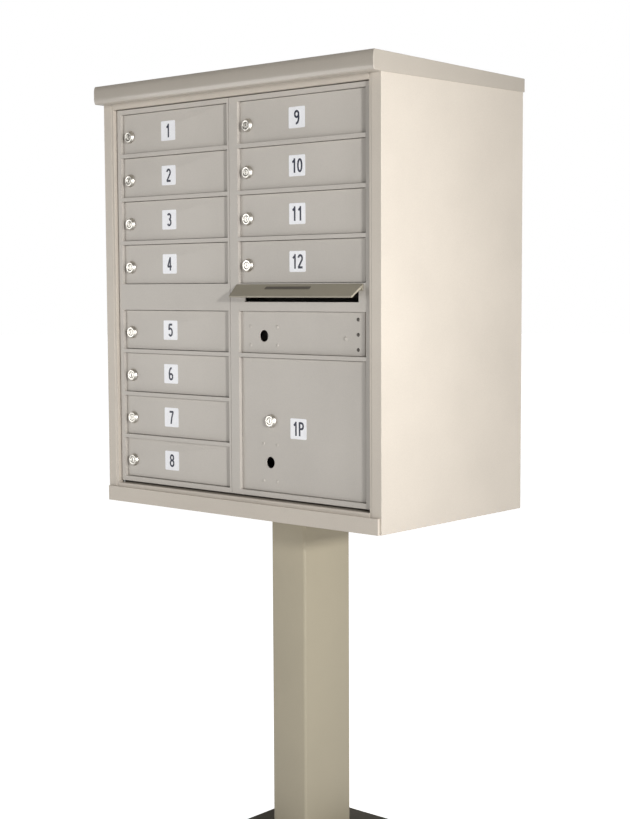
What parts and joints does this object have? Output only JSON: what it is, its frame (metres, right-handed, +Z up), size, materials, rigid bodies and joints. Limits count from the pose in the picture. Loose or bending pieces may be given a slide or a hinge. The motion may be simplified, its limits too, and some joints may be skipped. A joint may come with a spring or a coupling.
{
  "type": "cluster mailbox unit",
  "caption": "Pedestal-mounted cluster mailbox cabinet with numbered tenant doors, a parcel locker, a hooded outgoing mail slot and front-loading master doors.",
  "frame": {"origin": "on the floor under the middle of the base plate, which is under the middle of the cabinet", "axes": "+Z up, front towards -Y, +X to the right seen from the front"},
  "size_m": [0.7688, 0.4749, 1.597],
  "materials": {
    "cabinet_coating": "fine-texture powder coat, sandstone",
    "door_coating": "fine-texture powder coat, sandstone",
    "base_coating": "matt dark coating",
    "lock_chrome": "nickel-chrome plated, polished",
    "zinc_steel": "zinc plated",
    "mill_aluminium": "mill finish sheet"
  },
  "bodies": {
    "cabinet": {"base_plate": "base_coating", "pedestal_post": "cabinet_coating", "pedestal_top_plate": "cabinet_coating", "side_panel_left": "cabinet_coating", "side_panel_right": "cabinet_coating", "back_panel": "cabinet_coating", "bottom_pan": "cabinet_coating", "header_rail": "cabinet_coating", "top_panel": "cabinet_coating", "hood": "cabinet_coating", "hinge_pin_left": "zinc_steel", "hinge_pin_right": "zinc_steel", "compartment_rack_left": "mill_aluminium", "compartment_rack_right": "mill_aluminium"},
    "left_master_door": {"left_master_door": "door_coating"},
    "right_master_door": {"right_master_door": "door_coating", "mail_hood": "door_coating", "mail_slot_guard": "mill_aluminium", "master_lock_panel": "door_coating", "latch_guide": "zinc_steel"},
    "latch_bar": {"latch_bar": "zinc_steel"},
    "parcel_door": {"parcel_door": "door_coating", "parcel_lock_body": "lock_chrome"},
    "parcel_lock_plug": {"parcel_lock_plug": "lock_chrome"},
    "tenant_door_1": {"tenant_door_1": "door_coating", "tenant_lock_body_1": "lock_chrome"},
    "tenant_lock_plug_1": {"tenant_lock_plug_1": "lock_chrome"},
    "tenant_door_2": {"tenant_door_2": "door_coating", "tenant_lock_body_2": "lock_chrome"},
    "tenant_lock_plug_2": {"tenant_lock_plug_2": "lock_chrome"},
    "tenant_door_3": {"tenant_door_3": "door_coating", "tenant_lock_body_3": "lock_chrome"},
    "tenant_lock_plug_3": {"tenant_lock_plug_3": "lock_chrome"},
    "tenant_door_4": {"tenant_door_4": "door_coating", "tenant_lock_body_4": "lock_chrome"},
    "tenant_lock_plug_4": {"tenant_lock_plug_4": "lock_chrome"},
    "tenant_door_5": {"tenant_door_5": "door_coating", "tenant_lock_body_5": "lock_chrome"},
    "tenant_lock_plug_5": {"tenant_lock_plug_5": "lock_chrome"},
    "tenant_door_6": {"tenant_door_6": "door_coating", "tenant_lock_body_6": "lock_chrome"},
    "tenant_lock_plug_6": {"tenant_lock_plug_6": "lock_chrome"},
    "tenant_door_7": {"tenant_door_7": "door_coating", "tenant_lock_body_7": "lock_chrome"},
    "tenant_lock_plug_7": {"tenant_lock_plug_7": "lock_chrome"},
    "tenant_door_8": {"tenant_door_8": "door_coating", "tenant_lock_body_8": "lock_chrome"},
    "tenant_lock_plug_8": {"tenant_lock_plug_8": "lock_chrome"},
    "tenant_door_9": {"tenant_door_9": "door_coating", "tenant_lock_body_9": "lock_chrome"},
    "tenant_lock_plug_9": {"tenant_lock_plug_9": "lock_chrome"},
    "tenant_door_10": {"tenant_door_10": "door_coating", "tenant_lock_body_10": "lock_chrome"},
    "tenant_lock_plug_10": {"tenant_lock_plug_10": "lock_chrome"},
    "tenant_door_11": {"tenant_door_11": "door_coating", "tenant_lock_body_11": "lock_chrome"},
    "tenant_lock_plug_11": {"tenant_lock_plug_11": "lock_chrome"},
    "tenant_door_12": {"tenant_door_12": "door_coating", "tenant_lock_body_12": "lock_chrome"},
    "tenant_lock_plug_12": {"tenant_lock_plug_12": "lock_chrome"}
  },
  "joints": [
    {"name": "left_master_hinge", "type": "hinge", "parent": "cabinet", "child": "left_master_door", "pos_m": [-0.3465, -0.212, 1.1565], "axis": [0, 0, -1], "range_deg": [0, 90]},
    {"name": "right_master_hinge", "type": "hinge", "parent": "cabinet", "child": "right_master_door", "pos_m": [0.3465, -0.212, 1.1565], "axis": [0, 0, 1], "range_deg": [0, 90]},
    {"name": "latch_slide", "type": "slide", "parent": "right_master_door", "child": "latch_bar", "axis": [0, 0, 1], "range_m": [0, 0.012]},
    {"name": "parcel_hinge", "type": "hinge", "parent": "right_master_door", "child": "parcel_door", "pos_m": [0.3305, -0.206, 0.90775], "axis": [0, 0, 1], "range_deg": [0, 90]},
    {"name": "parcel_lock_turn", "type": "hinge", "parent": "parcel_door", "child": "parcel_lock_plug", "pos_m": [0.09015, -0.206, 0.91575], "axis": [0, -1, 0], "range_deg": [0, 90]},
    {"name": "tenant_hinge_1", "type": "hinge", "parent": "left_master_door", "child": "tenant_door_1", "pos_m": [-0.02865, -0.206, 1.49675], "axis": [0, 0, 1], "range_deg": [0, 90]},
    {"name": "tenant_lock_turn_1", "type": "hinge", "parent": "tenant_door_1", "child": "tenant_lock_plug_1", "pos_m": [-0.3165, -0.206, 1.49075], "axis": [0, -1, 0], "range_deg": [0, 90]},
    {"name": "tenant_hinge_2", "type": "hinge", "parent": "left_master_door", "child": "tenant_door_2", "pos_m": [-0.02865, -0.206, 1.40625], "axis": [0, 0, 1], "range_deg": [0, 90]},
    {"name": "tenant_lock_turn_2", "type": "hinge", "parent": "tenant_door_2", "child": "tenant_lock_plug_2", "pos_m": [-0.3165, -0.206, 1.40025], "axis": [0, -1, 0], "range_deg": [0, 90]},
    {"name": "tenant_hinge_3", "type": "hinge", "parent": "left_master_door", "child": "tenant_door_3", "pos_m": [-0.02865, -0.206, 1.31575], "axis": [0, 0, 1], "range_deg": [0, 90]},
    {"name": "tenant_lock_turn_3", "type": "hinge", "parent": "tenant_door_3", "child": "tenant_lock_plug_3", "pos_m": [-0.3165, -0.206, 1.30975], "axis": [0, -1, 0], "range_deg": [0, 90]},
    {"name": "tenant_hinge_4", "type": "hinge", "parent": "left_master_door", "child": "tenant_door_4", "pos_m": [-0.02865, -0.206, 1.22525], "axis": [0, 0, 1], "range_deg": [0, 90]},
    {"name": "tenant_lock_turn_4", "type": "hinge", "parent": "tenant_door_4", "child": "tenant_lock_plug_4", "pos_m": [-0.3165, -0.206, 1.21925], "axis": [0, -1, 0], "range_deg": [0, 90]},
    {"name": "tenant_hinge_5", "type": "hinge", "parent": "left_master_door", "child": "tenant_door_5", "pos_m": [-0.02865, -0.206, 1.08875], "axis": [0, 0, 1], "range_deg": [0, 90]},
    {"name": "tenant_lock_turn_5", "type": "hinge", "parent": "tenant_door_5", "child": "tenant_lock_plug_5", "pos_m": [-0.3165, -0.206, 1.08275], "axis": [0, -1, 0], "range_deg": [0, 90]},
    {"name": "tenant_hinge_6", "type": "hinge", "parent": "left_master_door", "child": "tenant_door_6", "pos_m": [-0.02865, -0.206, 0.99825], "axis": [0, 0, 1], "range_deg": [0, 90]},
    {"name": "tenant_lock_turn_6", "type": "hinge", "parent": "tenant_door_6", "child": "tenant_lock_plug_6", "pos_m": [-0.3165, -0.206, 0.99225], "axis": [0, -1, 0], "range_deg": [0, 90]},
    {"name": "tenant_hinge_7", "type": "hinge", "parent": "left_master_door", "child": "tenant_door_7", "pos_m": [-0.02865, -0.206, 0.90775], "axis": [0, 0, 1], "range_deg": [0, 90]},
    {"name": "tenant_lock_turn_7", "type": "hinge", "parent": "tenant_door_7", "child": "tenant_lock_plug_7", "pos_m": [-0.3165, -0.206, 0.90175], "axis": [0, -1, 0], "range_deg": [0, 90]},
    {"name": "tenant_hinge_8", "type": "hinge", "parent": "left_master_door", "child": "tenant_door_8", "pos_m": [-0.02865, -0.206, 0.81725], "axis": [0, 0, 1], "range_deg": [0, 90]},
    {"name": "tenant_lock_turn_8", "type": "hinge", "parent": "tenant_door_8", "child": "tenant_lock_plug_8", "pos_m": [-0.3165, -0.206, 0.81125], "axis": [0, -1, 0], "range_deg": [0, 90]},
    {"name": "tenant_hinge_9", "type": "hinge", "parent": "right_master_door", "child": "tenant_door_9", "pos_m": [0.3305, -0.206, 1.49675], "axis": [0, 0, 1], "range_deg": [0, 90]},
    {"name": "tenant_lock_turn_9", "type": "hinge", "parent": "tenant_door_9", "child": "tenant_lock_plug_9", "pos_m": [0.03065, -0.206, 1.49075], "axis": [0, -1, 0], "range_deg": [0, 90]},
    {"name": "tenant_hinge_10", "type": "hinge", "parent": "right_master_door", "child": "tenant_door_10", "pos_m": [0.3305, -0.206, 1.40625], "axis": [0, 0, 1], "range_deg": [0, 90]},
    {"name": "tenant_lock_turn_10", "type": "hinge", "parent": "tenant_door_10", "child": "tenant_lock_plug_10", "pos_m": [0.03065, -0.206, 1.40025], "axis": [0, -1, 0], "range_deg": [0, 90]},
    {"name": "tenant_hinge_11", "type": "hinge", "parent": "right_master_door", "child": "tenant_door_11", "pos_m": [0.3305, -0.206, 1.31575], "axis": [0, 0, 1], "range_deg": [0, 90]},
    {"name": "tenant_lock_turn_11", "type": "hinge", "parent": "tenant_door_11", "child": "tenant_lock_plug_11", "pos_m": [0.03065, -0.206, 1.30975], "axis": [0, -1, 0], "range_deg": [0, 90]},
    {"name": "tenant_hinge_12", "type": "hinge", "parent": "right_master_door", "child": "tenant_door_12", "pos_m": [0.3305, -0.206, 1.22525], "axis": [0, 0, 1], "range_deg": [0, 90]},
    {"name": "tenant_lock_turn_12", "type": "hinge", "parent": "tenant_door_12", "child": "tenant_lock_plug_12", "pos_m": [0.03065, -0.206, 1.21925], "axis": [0, -1, 0], "range_deg": [0, 90]}
  ]
}
